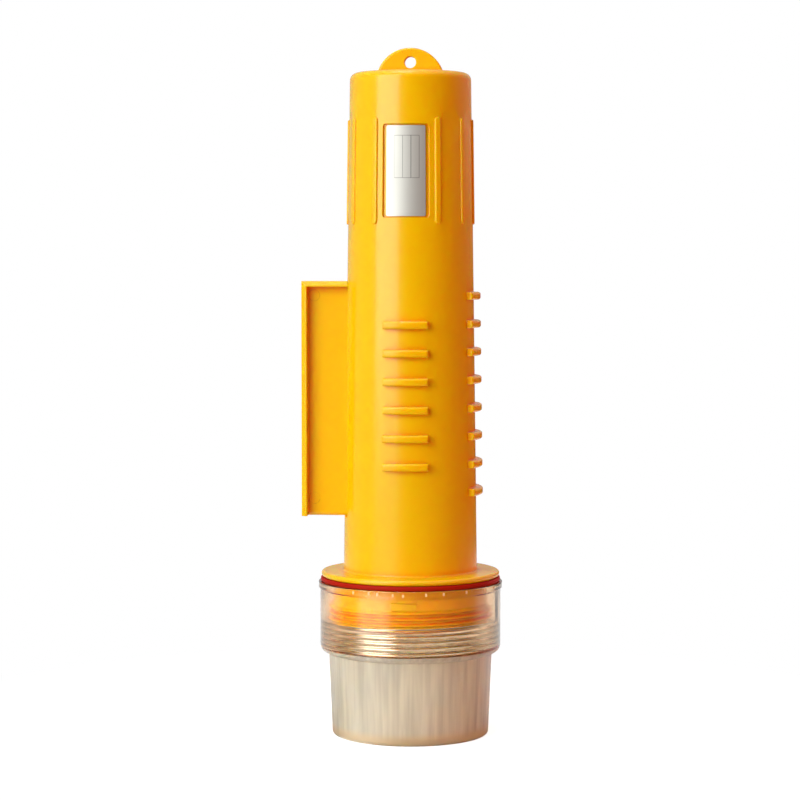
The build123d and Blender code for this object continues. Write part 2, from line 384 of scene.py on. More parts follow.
def spread_round(piece, count, step):
    """Copies a piece round the Z axis, each copy with its own mesh, and returns them all."""
    copies = [piece]
    for index in range(1, count):
        bpy.ops.object.select_all(action="DESELECT")
        bpy.context.view_layer.objects.active = piece
        piece.select_set(True)
        bpy.ops.object.duplicate()
        copy = bpy.context.object
        turn(copy, step * index)
        copies.append(copy)
    return copies


def thread_ridge(name, root_radius, crest_radius, bottom, turns, steps=108, taper_steps=12):
    """A rounded helical ridge of the screw's lead between two radii, whose ends fade into its root."""
    root_width = 0.92 * SCREW_LEAD
    profile = []
    for step in range(THREAD_PROFILE_STEPS + 1):
        share = step / THREAD_PROFILE_STEPS
        rise = (1 - cos(2 * pi * share)) / 2
        radius = root_radius + (crest_radius - root_radius) * rise
        profile.append((radius, bottom + root_width * (share - 1 / 2)))
    piece = drawn(name, profile)
    with edit_mode(piece):
        bpy.ops.mesh.select_all(action="SELECT")
        bpy.ops.mesh.edge_face_add()
    helix = piece.modifiers.new("Helix", "SCREW")
    helix.screw_offset = SCREW_LEAD
    helix.iterations = turns
    helix.steps = steps
    helix.render_steps = steps
    bpy.ops.object.modifier_apply(modifier=helix.name)
    last_step = turns * steps
    row = len(profile)
    with edit_mode(piece):
        for fade in range(taper_steps):
            scale = 1 + (root_radius / crest_radius - 1) * (1 - fade / taper_steps)
            ends = {row * place + inner for place in (fade, last_step - fade) for inner in range(1, row - 1)}
            select_vertices(piece, lambda vertex: vertex.index in ends)
            bpy.ops.transform.resize(value=(scale, scale, 1), center_override=(0, 0, 0))
        bpy.ops.mesh.select_all(action="SELECT")
        bpy.ops.mesh.fill_holes(sides=row)
        bpy.ops.mesh.normals_make_consistent(inside=False)
    return piece


def joined_by_union(piece, other):
    """Makes one closed mesh of a piece and another that runs into it."""
    union = piece.modifiers.new("Union", "BOOLEAN")
    union.operation = "UNION"
    union.solver = "EXACT"
    union.object = other
    bpy.ops.object.select_all(action="DESELECT")
    bpy.context.view_layer.objects.active = piece
    bpy.ops.object.modifier_apply(modifier=union.name)
    bpy.data.objects.remove(other)
    mesh = bmesh.new()
    mesh.from_mesh(piece.data)
    closed = bool(mesh.faces) and all(len(edge.link_faces) == 2 for edge in mesh.edges)
    mesh.free()
    if not closed:
        raise RuntimeError(f"{piece.name} isn't closed after its union")


def finish(piece, body, material, stands_for=()):
    """Smooths a piece, gives it its material, ties it to its body and hides the solids it stands for."""
    if not piece.data.polygons:
        raise RuntimeError(f"{piece.name} has no faces")
    bpy.ops.object.select_all(action="DESELECT")
    bpy.context.view_layer.objects.active = piece
    piece.select_set(True)
    bpy.ops.object.shade_smooth_by_angle(angle=SMOOTH_ANGLE)
    piece.data.materials.clear()
    piece.data.materials.append(material)
    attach(piece, body)
    if stands_for:
        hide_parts(*stands_for)


def paint_faces(piece, material, wanted):
    """Gives a second material to the faces for which wanted(face) is true."""
    piece.data.materials.append(material)
    for face in piece.data.polygons:
        if wanted(face):
            face.material_index = len(piece.data.materials) - 1


def control_frame(node):
    """Returns the centre of a control at its lowest face, the plate's underside over it and its outer radius."""
    low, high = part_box(node)
    centre = Vector(((low.x + high.x) / 2, (low.y + high.y) / 2, low.z))
    return centre, PLATE_LOW.z - low.z, (high.x - low.x) / 2


def add_node(tree, kind, inputs=None, **settings):
    """Adds a shader node, sets its settings, and sets or links each input, given by name or place."""
    node = tree.nodes.new(kind)
    for name, value in settings.items():
        setattr(node, name, value)
    for name, value in (inputs or {}).items():
        if isinstance(value, bpy.types.NodeSocket):
            tree.links.new(value, node.inputs[name])
        else:
            node.inputs[name].default_value = value
    return node


def calculated(tree, operation, *values, clamp=False):
    """The result of a math operation on values, kept between 0 and 1 if asked."""
    inputs = dict(enumerate(values))
    return add_node(tree, "ShaderNodeMath", inputs, operation=operation, use_clamp=clamp).outputs[0]


def highest(tree, values):
    """The largest of several values."""
    return reduce(lambda first, second: calculated(tree, "MAXIMUM", first, second), values)


def ramped(tree, value, low, high, start=0.0, end=1.0, interpolation="LINEAR"):
    """A value whose run from low to high becomes a run from start to end."""
    run = {"Value": value, "From Min": low, "From Max": high, "To Min": start, "To Max": end}
    return add_node(tree, "ShaderNodeMapRange", run, interpolation_type=interpolation).outputs["Result"]


def eased(tree, value, low, high, start=0.0, end=1.0):
    """A value whose run from low to high becomes a run from start to end with soft ends."""
    return ramped(tree, value, low, high, start, end, "SMOOTHSTEP")


def noise(tree, vector, scale, detail, roughness=0.5):
    """Noise of a scale, detail and roughness."""
    look = {"Vector": vector, "Scale": scale, "Detail": detail, "Roughness": roughness}
    return add_node(tree, "ShaderNodeTexNoise", look).outputs["Fac"]


def shaded(tree, color, brightness):
    """A colour made brighter or darker."""
    return add_node(tree, "ShaderNodeVectorMath", {0: color, "Scale": brightness}, operation="SCALE").outputs[0]


def mixed_value(tree, share, first, second):
    """A mix of two values, which are the mix node's inputs 2 and 3."""
    return add_node(tree, "ShaderNodeMix", {0: share, 2: first, 3: second}).outputs[0]


def mixed_color(tree, share, first, second):
    """A mix of two colours, which are the mix node's inputs 6 and 7 and its output 2."""
    return add_node(tree, "ShaderNodeMix", {0: share, 6: first, 7: second}, data_type="RGBA").outputs[2]


def mixed_shader(tree, share, first, second):
    """A mix of two shaders."""
    return add_node(tree, "ShaderNodeMixShader", {0: share, 1: first, 2: second}).outputs[0]


def new_group(name, inputs, outputs):
    """Starts a shader node group with named sockets, and returns it with its input and output nodes."""
    group = bpy.data.node_groups.new(name, "ShaderNodeTree")
    for socket_name, socket_type, default in inputs:
        socket = group.interface.new_socket(socket_name, in_out="INPUT", socket_type=socket_type)
        if default is not None:
            socket.default_value = default
    for socket_name, socket_type in outputs:
        group.interface.new_socket(socket_name, in_out="OUTPUT", socket_type=socket_type)
    return group, group.nodes.new("NodeGroupInput"), group.nodes.new("NodeGroupOutput")


def place_group(tree, name, inputs):
    """Places a finished node group in a material and sets or links its inputs."""
    return add_node(tree, "ShaderNodeGroup", inputs, node_tree=bpy.data.node_groups[name])


def make_moulded_skin():
    """Group: fine orange peel, slow ripples and a slight drift of colour, as on moulded plastic."""
    group, given, result = new_group(
        "Moulded Skin",
        [
            ("Vector", "NodeSocketVector", None),
            ("Color", "NodeSocketColor", (0.8, 0.8, 0.8, 1)),
            ("Drift", "NodeSocketFloat", 0.05),
            ("Peel Scale", "NodeSocketFloat", 900.0),
            ("Ripple Scale", "NodeSocketFloat", 60.0),
        ],
        [("Color", "NodeSocketColor"), ("Height", "NodeSocketFloat"), ("Mottle", "NodeSocketFloat")],
    )
    ripples_over_peel = 4.0
    middle = 0.5
    peel = noise(group, given.outputs["Vector"], given.outputs["Peel Scale"], 2.0)
    ripple = noise(group, given.outputs["Vector"], given.outputs["Ripple Scale"], 3.0)
    height = calculated(group, "MULTIPLY_ADD", ripple, ripples_over_peel, peel)
    spread = calculated(group, "SUBTRACT", ripple, middle)
    brightness = calculated(group, "MULTIPLY_ADD", spread, given.outputs["Drift"], 1.0)
    group.links.new(shaded(group, given.outputs["Color"], brightness), result.inputs["Color"])
    group.links.new(height, result.inputs["Height"])
    group.links.new(ripple, result.inputs["Mottle"])


def make_rib_shade_streaks():
    """Group: soft upright streaks round the Z axis: flow lines in the plastic, and painted light and shade that
    stands in for the shading of the cup's inner ribs.
    """
    group, given, result = new_group(
        "Painted Rib Shade Streaks",
        [
            ("Vector", "NodeSocketVector", None),
            ("Color", "NodeSocketColor", (0.8, 0.8, 0.8, 1)),
            ("Depth", "NodeSocketFloat", 0.28),
            ("Scale", "NodeSocketFloat", 260.0),
        ],
        [("Color", "NodeSocketColor")],
    )
    upright = (1.0, 1.0, 0.05)
    darkest = 0.84
    stretched = add_node(
        group, "ShaderNodeVectorMath", {0: given.outputs["Vector"], 1: upright}, operation="MULTIPLY"
    )
    flow = noise(group, stretched.outputs[0], given.outputs["Scale"], 2.0, 0.6)
    # The streaks lighten and darken the colour, partly as flow lines and partly as painted light and shade for the
    # ribs
    rib_shade = ramped(group, flow, 0.35, 0.65)
    brightness = calculated(group, "MULTIPLY_ADD", rib_shade, given.outputs["Depth"], darkest)
    group.links.new(shaded(group, given.outputs["Color"], brightness), result.inputs["Color"])


def make_ruled_fields():
    """Group: a mask of thin upright and level lines that rule blank fields on a plate."""
    group, given, result = new_group(
        "Ruled Fields",
        [
            ("Vector", "NodeSocketVector", None),
            ("Half Width", "NodeSocketFloat", 0.16 * MM),
            ("Bottom", "NodeSocketFloat", 0.0),
            ("Top", "NodeSocketFloat", 0.0),
        ],
        [("Mask", "NodeSocketFloat")],
    )
    split = add_node(group, "ShaderNodeSeparateXYZ", {"Vector": given.outputs["Vector"]})
    across, height = split.outputs["X"], split.outputs["Z"]
    half = given.outputs["Half Width"]

    def both(first, second):
        """The product of two masks."""
        return calculated(group, "MULTIPLY", first, second)

    def near(value, place):
        """1 where a value lies within the line's half width of a place."""
        return calculated(group, "COMPARE", value, place, half)

    above = calculated(group, "GREATER_THAN", height, calculated(group, "SUBTRACT", given.outputs["Bottom"], half))
    below = calculated(group, "LESS_THAN", height, calculated(group, "ADD", given.outputs["Top"], half))
    columns = highest(group, [both(near(across, place), depth) for place, depth in FIELD_COLUMNS])
    right_of_first = calculated(group, "GREATER_THAN", across, FIELD_COLUMNS[0][0])
    left_of_last = calculated(group, "LESS_THAN", across, FIELD_COLUMNS[-1][0])
    between = both(right_of_first, left_of_last)
    lines = [both(columns, both(above, below))]
    for level in ("Bottom", "Top"):
        lines.append(both(both(near(height, given.outputs[level]), between), FIELD_ROW_DEPTH))
    group.links.new(highest(group, lines), result.inputs["Mask"])


def make_pin_marks():
    """Group: a mask of the faint broken rings that ejector pins leave on moulded plastic."""
    group, given, result = new_group(
        "Pin Marks",
        [("Vector", "NodeSocketVector", None), ("Half Width", "NodeSocketFloat", 0.35 * MM)],
        [("Mask", "NodeSocketFloat")],
    )
    vector = given.outputs["Vector"]
    broken = ramped(group, noise(group, vector, 420.0, 1.0), 0.35, 0.6)
    rings = []
    for centre, radius in PIN_MARKS:
        reach = add_node(group, "ShaderNodeVectorMath", {0: vector, 1: centre}, operation="DISTANCE")
        away = calculated(group, "ABSOLUTE", calculated(group, "SUBTRACT", reach.outputs["Value"], radius))
        rings.append(ramped(group, away, 0.0, given.outputs["Half Width"], 1.0, 0.0))
    mask = calculated(group, "MULTIPLY", highest(group, rings), broken)
    group.links.new(mask, result.inputs["Mask"])


def new_material(name):
    """Starts a material and returns it with its tree, Principled shader and object coordinates."""
    material = bpy.data.materials.new(name)
    material.use_nodes = True
    tree = material.node_tree
    tree.nodes.clear()
    output = tree.nodes.new("ShaderNodeOutputMaterial")
    shader = tree.nodes.new("ShaderNodeBsdfPrincipled")
    tree.links.new(shader.outputs["BSDF"], output.inputs["Surface"])
    coordinates = tree.nodes.new("ShaderNodeTexCoord").outputs["Object"]
    return material, tree, shader, coordinates


def skin_on(
    tree,
    shader,
    coordinates,
    color,
    roughness,
    drift=0.05,
    bump=0.2,
    ripple_scale=60.0,
    edge_rounding=0.0,
):
    """Feeds a shader with the moulded skin over edges that look rounded, and returns the skin's colour."""
    skin = place_group(
        tree,
        "Moulded Skin",
        {
            "Vector": coordinates,
            "Color": color,
            "Drift": drift,
            "Ripple Scale": ripple_scale,
        },
    )
    tree.links.new(skin.outputs["Color"], shader.inputs["Base Color"])
    smoothest, roughest = roughness - ROUGHNESS_SPREAD, roughness + ROUGHNESS_SPREAD
    tree.links.new(ramped(tree, skin.outputs["Mottle"], 0.0, 1.0, smoothest, roughest), shader.inputs["Roughness"])
    relief = add_node(
        tree, "ShaderNodeBump", {"Strength": bump, "Distance": SKIN_RELIEF, "Height": skin.outputs["Height"]}
    )
    if edge_rounding:
        edges = add_node(tree, "ShaderNodeBevel", {"Radius": edge_rounding}, samples=6)
        tree.links.new(edges.outputs["Normal"], relief.inputs["Normal"])
    tree.links.new(relief.outputs["Normal"], shader.inputs["Normal"])
    return skin.outputs["Color"]


def housing_plastic():
    """Bright yellow moulded plastic that light soaks into, with painted orange shade in its inner corners."""
    if "Housing Plastic" in bpy.data.materials:
        return bpy.data.materials["Housing Plastic"]
    settings = bpy.context.scene.buoy_finish
    material, tree, shader, coordinates = new_material("Housing Plastic")
    skin = skin_on(
        tree, shader, coordinates, settings.housing_color, 0.22, drift=0.03, bump=0.1, edge_rounding=0.7 * MM
    )
    # Painted shade: where ambient occlusion finds an inner corner, the colour turns darker orange, as shade and the
    # plastic's own bounced light would make it
    openness = add_node(tree, "ShaderNodeAmbientOcclusion", {"Distance": 6 * MM}, samples=8, only_local=True)
    corner = ramped(tree, openness.outputs["AO"], 0.35, 0.85, 1.0, 0.0)
    crease_shaded = mixed_color(tree, corner, skin, settings.painted_crease_shade_color)
    marks = place_group(tree, "Pin Marks", {"Vector": coordinates})
    faint_marks = calculated(tree, "MULTIPLY", marks.outputs["Mask"], PIN_MARK_STRENGTH)
    marked = mixed_color(tree, faint_marks, crease_shaded, settings.mark_color)
    tree.links.new(marked, shader.inputs["Base Color"])
    shader.inputs["Specular IOR Level"].default_value = 0.33
    shader.inputs["Subsurface Weight"].default_value = 0.65
    shader.inputs["Subsurface Radius"].default_value = (1.0, 0.3, 0.05)
    shader.inputs["Subsurface Scale"].default_value = 4 * MM
    return material


def clear_plastic():
    """Clear moulded plastic of the cap's mouth, slightly yellowed."""
    settings = bpy.context.scene.buoy_finish
    material, tree, shader, coordinates = new_material("Clear Plastic")
    skin = skin_on(tree, shader, coordinates, settings.clear_color, 0.12, drift=0.04, bump=0.1)
    facing = add_node(tree, "ShaderNodeLayerWeight", {"Blend": 0.3})
    edge = mixed_color(tree, facing.outputs["Facing"], skin, settings.edge_color)
    tree.links.new(edge, shader.inputs["Base Color"])
    shader.inputs["Transmission Weight"].default_value = 1.0
    shader.inputs["IOR"].default_value = PLASTIC_IOR
    tint = add_node(tree, "ShaderNodeVolumeAbsorption", {"Color": settings.tint_color, "Density": 70.0})
    tree.links.new(tint.outputs["Volume"], tree.nodes["Material Output"].inputs["Volume"])
    return material


def milky_plastic():
    """Frosted milky plastic of the cap's cup, with streaks of painted rib light and shade, warmer at its thick foot.
    """
    settings = bpy.context.scene.buoy_finish
    material, tree, shader, coordinates = new_material("Milky Plastic")
    skin = skin_on(tree, shader, coordinates, settings.milky_color, 0.35, drift=0.08, bump=0.15)
    # Painted light and shade: upright streaks that stand in for the inner ribs' shading, mixed with flow lines
    rib_shade_streaks = place_group(tree, "Painted Rib Shade Streaks", {"Vector": coordinates, "Color": skin})
    height = add_node(tree, "ShaderNodeSeparateXYZ", {"Vector": coordinates}).outputs["Z"]
    foot = eased(tree, height, 1 * MM, 8 * MM, 1.0, 0.0)
    footed = mixed_color(tree, foot, rib_shade_streaks.outputs["Color"], settings.thick_color)
    tree.links.new(footed, shader.inputs["Base Color"])
    shader.inputs["Transmission Weight"].default_value = 0.55
    shader.inputs["IOR"].default_value = PLASTIC_IOR
    shader.inputs["Subsurface Weight"].default_value = 0.8
    shader.inputs["Subsurface Radius"].default_value = (1.0, 0.8, 0.6)
    shader.inputs["Subsurface Scale"].default_value = 3 * MM
    return material


def pip_plastic():
    """Frosted plastic of the pips under the cap's rim."""
    if "Pip Plastic" in bpy.data.materials:
        return bpy.data.materials["Pip Plastic"]
    material, tree, shader, coordinates = new_material("Pip Plastic")
    skin_on(tree, shader, coordinates, (0.98, 0.78, 0.42, 1), 0.4, bump=0.3)
    return material


def seal_rubber():
    """Satin red silicone rubber."""
    settings = bpy.context.scene.buoy_finish
    material, tree, shader, coordinates = new_material("Seal Rubber")
    skin_on(tree, shader, coordinates, settings.seal_color, 0.55, bump=0.3)
    shader.inputs["Specular IOR Level"].default_value = 0.1
    return material


def label_silver():
    """Satin silver plate with blank ruled fields."""
    settings = bpy.context.scene.buoy_finish
    material, tree, shader, coordinates = new_material("Label Silver")
    skin = skin_on(tree, shader, coordinates, settings.label_color, 0.52, drift=0.03, bump=0.1)
    centre = (LABEL_LOW.z + LABEL_HIGH.z) / 2
    fields = place_group(
        tree,
        "Ruled Fields",
        {"Vector": coordinates, "Bottom": centre + FIELD_BOTTOM, "Top": centre + FIELD_TOP},
    )
    ruled = mixed_color(tree, fields.outputs["Mask"], skin, settings.line_color)
    tree.links.new(ruled, shader.inputs["Base Color"])
    shader.inputs["Metallic"].default_value = 0.6
    return material


def nickel():
    """Nickel plated metal."""
    if "Nickel" in bpy.data.materials:
        return bpy.data.materials["Nickel"]
    material, tree, shader, coordinates = new_material("Nickel")
    skin_on(tree, shader, coordinates, (0.70, 0.68, 0.65, 1), 0.22, drift=0.05, bump=0.15)
    shader.inputs["Metallic"].default_value = 1.0
    return material


def button_rubber():
    """Black rubber of the power button's boot."""
    material, tree, shader, coordinates = new_material("Button Rubber")
    skin_on(tree, shader, coordinates, (0.020, 0.020, 0.022, 1), 0.6, bump=0.4)
    return material


def lens_plastic():
    """Clear plastic of the indicator's lens."""
    material, tree, shader, coordinates = new_material("Lens Plastic")
    skin_on(tree, shader, coordinates, (0.96, 0.95, 0.92, 1), 0.06, drift=0.02, bump=0.05)
    shader.inputs["Transmission Weight"].default_value = 1.0
    shader.inputs["IOR"].default_value = PLASTIC_IOR
    return material


def lamp_resin():
    """Milky resin of the indicator's lamp, unlit."""
    material, tree, shader, coordinates = new_material("Lamp Resin")
    skin_on(tree, shader, coordinates, (0.85, 0.82, 0.70, 1), 0.15, bump=0.05)
    return material


def cell_wrap():
    """Blue shrink wrap round the battery pack."""
    material, tree, shader, coordinates = new_material("Cell Wrap")
    skin_on(tree, shader, coordinates, (0.03, 0.12, 0.36, 1), 0.3, bump=0.6, ripple_scale=140.0)
    return material


def light_path(tree, name):
    """One value of the light path, such as whether a ray comes straight from the camera."""
    return tree.nodes.new("ShaderNodeLightPath").outputs[name]


def shining_rays(tree):
    """1 for rays that a surface has mirrored or bent, and 0 for the others."""
    return highest(tree, [light_path(tree, "Is Glossy Ray"), light_path(tree, "Is Transmission Ray")])


def inside_rays(tree):
    """1 for rays that light the inside of the cap through its wall, and 0 for the others."""
    scattered = calculated(tree, "GREATER_THAN", light_path(tree, "Diffuse Depth"), 0.5)
    return calculated(tree, "MULTIPLY", scattered, light_path(tree, "Is Transmission Ray"))


def seen_rays(tree):
    """1 for camera rays and for rays that have passed through both walls of the cap, and 0 for the others."""
    surfaces_passed = light_path(tree, "Transmission Depth")
    deep = calculated(tree, "GREATER_THAN", surfaces_passed, BOTH_WALLS)
    straight = calculated(tree, "SUBTRACT", 1.0, inside_rays(tree))
    through = calculated(tree, "MULTIPLY", deep, straight)
    seen = calculated(tree, "MULTIPLY", through, light_path(tree, "Is Transmission Ray"))
    return highest(tree, [light_path(tree, "Is Camera Ray"), seen])


def white_glow(tree, strength):
    """A shader that gives off white light."""
    return add_node(tree, "ShaderNodeEmission", {"Color": (1, 1, 1, 1), "Strength": strength}).outputs[0]


def pale_floor():
    """Paint that shows white to the camera and keeps the buoy's shadow near its base."""
    material = bpy.data.materials.new("Pale Floor")
    material.use_nodes = True
    tree = material.node_tree
    tree.nodes.clear()
    output = tree.nodes.new("ShaderNodeOutputMaterial")
    coordinates = tree.nodes.new("ShaderNodeTexCoord").outputs["Object"]
    # Gray paint that takes the shadow, darker where a shiny surface mirrors it
    paint_tone, mirrored_tone = 0.58, 0.12
    shine = shining_rays(tree)
    outside = calculated(tree, "SUBTRACT", 1.0, inside_rays(tree))
    glint = calculated(tree, "MULTIPLY", shine, outside)
    tone = mixed_value(tree, glint, paint_tone, mirrored_tone)
    gray = add_node(tree, "ShaderNodeCombineColor", {name: tone for name in ("Red", "Green", "Blue")})
    paint = add_node(tree, "ShaderNodeBsdfDiffuse", {"Color": gray.outputs[0]}).outputs[0]
    # What the camera sees: paint with a glow over it near the buoy, and plain white far from it
    near_strength, white_strength = 0.80, 1.0
    away = add_node(tree, "ShaderNodeVectorMath", {0: coordinates}, operation="LENGTH").outputs["Value"]
    far = eased(tree, away, 0.10, 0.30)
    near = add_node(tree, "ShaderNodeAddShader", {0: paint, 1: white_glow(tree, near_strength)}).outputs[0]
    shown = mixed_shader(tree, far, near, white_glow(tree, white_strength))
    # Behind the buoy, shiny surfaces mirror the same white
    depth = add_node(tree, "ShaderNodeSeparateXYZ", {"Vector": coordinates}).outputs["Y"]
    behind = eased(tree, depth, -0.05, 0.10)
    mirrored = calculated(tree, "MULTIPLY", shine, behind)
    seen = mixed_shader(tree, highest(tree, [seen_rays(tree), mirrored]), paint, shown)
    # Towards the main lamp they mirror a bright patch
    patch_strength = 2.2
    toward_key = (-sin(GLARE_AZIMUTH), -cos(GLARE_AZIMUTH), 0)
    place = add_node(tree, "ShaderNodeVectorMath", {0: coordinates}, operation="NORMALIZE").outputs["Vector"]
    aim = add_node(tree, "ShaderNodeVectorMath", {0: place, 1: toward_key}, operation="DOT_PRODUCT").outputs["Value"]
    glare = calculated(tree, "MULTIPLY", glint, eased(tree, aim, 0.90, 0.98))
    surface = mixed_shader(tree, glare, seen, white_glow(tree, patch_strength))
    tree.links.new(surface, output.inputs["Surface"])
    return material


def studio_world(settings):
    """A white surround to look at, mirrored most from behind, and a weak warm light from all round."""
    world = bpy.data.worlds.new("Studio")
    world.use_nodes = True
    tree = world.node_tree
    tree.nodes.clear()
    output = tree.nodes.new("ShaderNodeOutputWorld")
    direction = tree.nodes.new("ShaderNodeTexCoord").outputs["Generated"]
    split = add_node(tree, "ShaderNodeSeparateXYZ", {"Vector": direction})
    across, depth, height = (split.outputs[axis] for axis in "XYZ")
    # What shiny surfaces mirror: a backdrop over the horizon, the left side and a panel overhead
    dimmest, brightest, panel_strength = 0.05, 0.55, 1.3
    behind = eased(tree, depth, -0.3, 0.5)
    above = eased(tree, height, -0.02, 0.12)
    backdrop = calculated(tree, "MULTIPLY", behind, above)
    left = eased(tree, across, 0.0, -0.3)
    glow = ramped(tree, highest(tree, [backdrop, left]), 0.0, 1.0, dimmest, brightest)
    overhead = eased(tree, height, 0.5, 0.8, 0.0, panel_strength)
    sheen = highest(tree, [glow, overhead])
    # How strong the light is for each kind of ray
    inner_left, inner_right, seen_strength = 4.2, 0.9, 1.0
    through = seen_rays(tree)
    shine = shining_rays(tree)
    inside = inside_rays(tree)
    mirrored = mixed_value(tree, shine, settings.ambient, sheen)
    right = eased(tree, across, -0.4, 0.8)
    inner = ramped(tree, right, 0.0, 1.0, inner_left, inner_right)
    lit = mixed_value(tree, inside, mirrored, inner)
    strength = mixed_value(tree, through, lit, seen_strength)
    # Its colour: warm from all round, straw for bent rays, and orange inside the cap's right side
    white, straw, orange = (1, 1, 1, 1), (1, 0.80, 0.50, 1), (1, 0.28, 0.08, 1)
    plain = mixed_color(tree, highest(tree, [through, shine]), (*settings.ambient_color, 1), white)
    bent = calculated(tree, "SUBTRACT", light_path(tree, "Is Transmission Ray"), through, clamp=True)
    tanned = mixed_color(tree, bent, plain, straw)
    warm = calculated(tree, "MULTIPLY", inside, right)
    color = mixed_color(tree, warm, tanned, orange)
    sky = add_node(tree, "ShaderNodeBackground", {"Color": color, "Strength": strength})
    tree.links.new(sky.outputs[0], output.inputs["Surface"])
    return world


class BUOY_OT_make_effects(bpy.types.Operator):
    """Make the shared shader node groups"""

    bl_idname = "buoy.make_effects"
    bl_label = "Make Effects"

    def execute(self, context):
        make_moulded_skin()
        make_rib_shade_streaks()
        make_ruled_fields()
        make_pin_marks()
        return {"FINISHED"}


class BUOY_OT_add_cap(bpy.types.Operator):
    """Model the translucent screw cap with its inner ribs and thread"""

    bl_idname = "buoy.add_cap"
    bl_label = "Add Screw Cap"

    def execute(self, context):
        settings = context.scene.buoy_cap
        rib_foot = CAP_FLOOR + 4 * MM
        rib_head = WAIST_HEIGHT - 3 * MM
        foot_slope = 1.5 * MM
        head_slope = 2 * MM
        inner_base = BASE_RADIUS - CAP_WALL
        inner_waist = WAIST_RADIUS - CAP_WALL
        inner_mouth = MOUTH_RADIUS - CAP_WALL

        def inner_wall(height):
            """Radius of the lower cup's inner wall at a height."""
            share = (height - CAP_FLOOR) / (WAIST_HEIGHT + CAP_WALL - CAP_FLOOR)
            return inner_base + (inner_waist - inner_base) * share

        outline = rounded(
            [
                (0, 0, 0),
                (BASE_RADIUS, 0, BASE_ROUND),
                (WAIST_RADIUS, WAIST_HEIGHT, 0),
                (MOUTH_RADIUS, WAIST_HEIGHT + SHOULDER_RISE, SHOULDER_ROUND),
                (MOUTH_RADIUS, CAP_HEIGHT - BEAD_HEIGHT, 0),
                (BEAD_RADIUS, CAP_HEIGHT - BEAD_HEIGHT + BEAD_PROUD, BEAD_PROUD),
                (BEAD_RADIUS, CAP_HEIGHT, BEAD_PROUD / 2),
                (inner_mouth, CAP_HEIGHT, BEAD_PROUD / 2),
                (inner_mouth, WAIST_HEIGHT + SHOULDER_RISE + CAP_WALL, SHOULDER_ROUND - CAP_WALL),
                (inner_waist, WAIST_HEIGHT + CAP_WALL, 0),
                (inner_wall(rib_head + head_slope), rib_head + head_slope, 0),
                (inner_wall(rib_head), rib_head, 0),
                (inner_wall(rib_foot), rib_foot, 0),
                (inner_wall(rib_foot - foot_slope), rib_foot - foot_slope, 0),
                (inner_base, CAP_FLOOR, BASE_ROUND / 2),
                (0, CAP_FLOOR, 0),
            ]
        )
        steps_per_rib = 4
        steps_across_rib = 2
        steps = settings.rib_count * steps_per_rib
        cap = turned("cap_shell", outline, steps)
        draw = random.Random(RIB_SEED)
        depths = [draw.choice(RIB_SHARES) for _ in range(settings.rib_count)]

        def rib_share(vertex):
            """How much of the rib's depth a vertex takes, or nothing off the ribs."""
            if not rib_foot - NEARLY < vertex.co.z < rib_head + NEARLY:
                return 0
            if hypot(vertex.co.x, vertex.co.y) > inner_wall(vertex.co.z) + CAP_WALL / 2:
                return 0
            step = round(atan2(vertex.co.y, vertex.co.x) / (2 * pi / steps)) % steps
            return depths[step // steps_per_rib] if step % steps_per_rib < steps_across_rib else 0

        with edit_mode(cap):
            for share in sorted(set(depths)):
                select_vertices(cap, lambda vertex: rib_share(vertex) == share)
                scale = 1 - settings.rib_depth * share / inner_base
                bpy.ops.transform.resize(value=(scale, scale, 1), center_override=(0, 0, 0))
        thread = thread_ridge(
            "cap_thread",
            inner_mouth + WALL_SEAT,
            inner_mouth - settings.thread_depth,
            settings.thread_bottom,
            settings.thread_turns,
        )
        joined_by_union(cap, thread)
        finish(cap, "cap", clear_plastic(), ["cap"])
        paint_faces(cap, milky_plastic(), lambda face: face.center.z < MILKY_TOP)
        return {"FINISHED"}


class BUOY_OT_add_rim_pips(bpy.types.Operator):
    """Model the small pips of flash that the mould left under the cap's rim"""

    bl_idname = "buoy.add_rim_pips"
    bl_label = "Add Rim Pips"

    def execute(self, context):
        size = Vector((1.1 * MM, 0.6 * MM, 1.6 * MM))
        edge_round = 0.25 * MM
        below_rim = 1.7 * MM
        bpy.ops.object.select_all(action="DESELECT")
        bpy.ops.mesh.primitive_cube_add(size=1, location=(0, 0, 0))
        pip = bpy.context.object
        pip.name = "rim_pip"
        pip.data.name = "rim_pip"
        with edit_mode(pip):
            bpy.ops.mesh.select_all(action="SELECT")
            bpy.ops.transform.resize(value=size)
            bpy.ops.mesh.bevel(offset=edge_round, segments=3)
            bpy.ops.transform.translate(value=(0, size.y - BEAD_RADIUS, CAP_HEIGHT - below_rim))
        pips = spread_round(pip, len(PIP_ANGLES), 0)
        for copy, (angle, height) in zip(pips, PIP_ANGLES):
            with edit_mode(copy):
                bpy.ops.mesh.select_all(action="SELECT")
                bpy.ops.transform.translate(value=(0, 0, height))
            turn(copy, radians(angle))
            finish(copy, "cap", pip_plastic())
        return {"FINISHED"}


class BUOY_OT_add_spigot_thread(bpy.types.Operator):
    """Model the thread round the housing's spigot"""

    bl_idname = "buoy.add_spigot_thread"
    bl_label = "Add Spigot Thread"

    def execute(self, context):
        settings = context.scene.buoy_spigot
        thread = thread_ridge(
            "spigot_thread",
            SPIGOT_RADIUS - WALL_SEAT,
            SPIGOT_RADIUS + settings.thread_depth,
            settings.thread_bottom,
            settings.thread_turns,
        )
        finish(thread, "housing", housing_plastic())
        return {"FINISHED"}


class BUOY_OT_add_spigot_pad(bpy.types.Operator):
    """Model the flat pad between the flange and the spigot's thread"""

    bl_idname = "buoy.add_spigot_pad"
    bl_label = "Add Spigot Pad"

    def execute(self, context):
        root = SPIGOT_RADIUS - WALL_SEAT
        face = SPIGOT_RADIUS + 0.7 * MM
        bottom, top = 70.6 * MM, 74.6 * MM
        first_angle, last_angle = radians(-99.5), radians(-81.1)
        bevel = 0.4 * MM
        profile = [(root, bottom), (face - bevel, bottom), (face, bottom + bevel)]
        profile += [(face, top - bevel), (face - bevel, top), (root, top)]
        pad = swept("spigot_pad", profile, first_angle, last_angle, 12)
        finish(pad, "housing", housing_plastic())
        return {"FINISHED"}


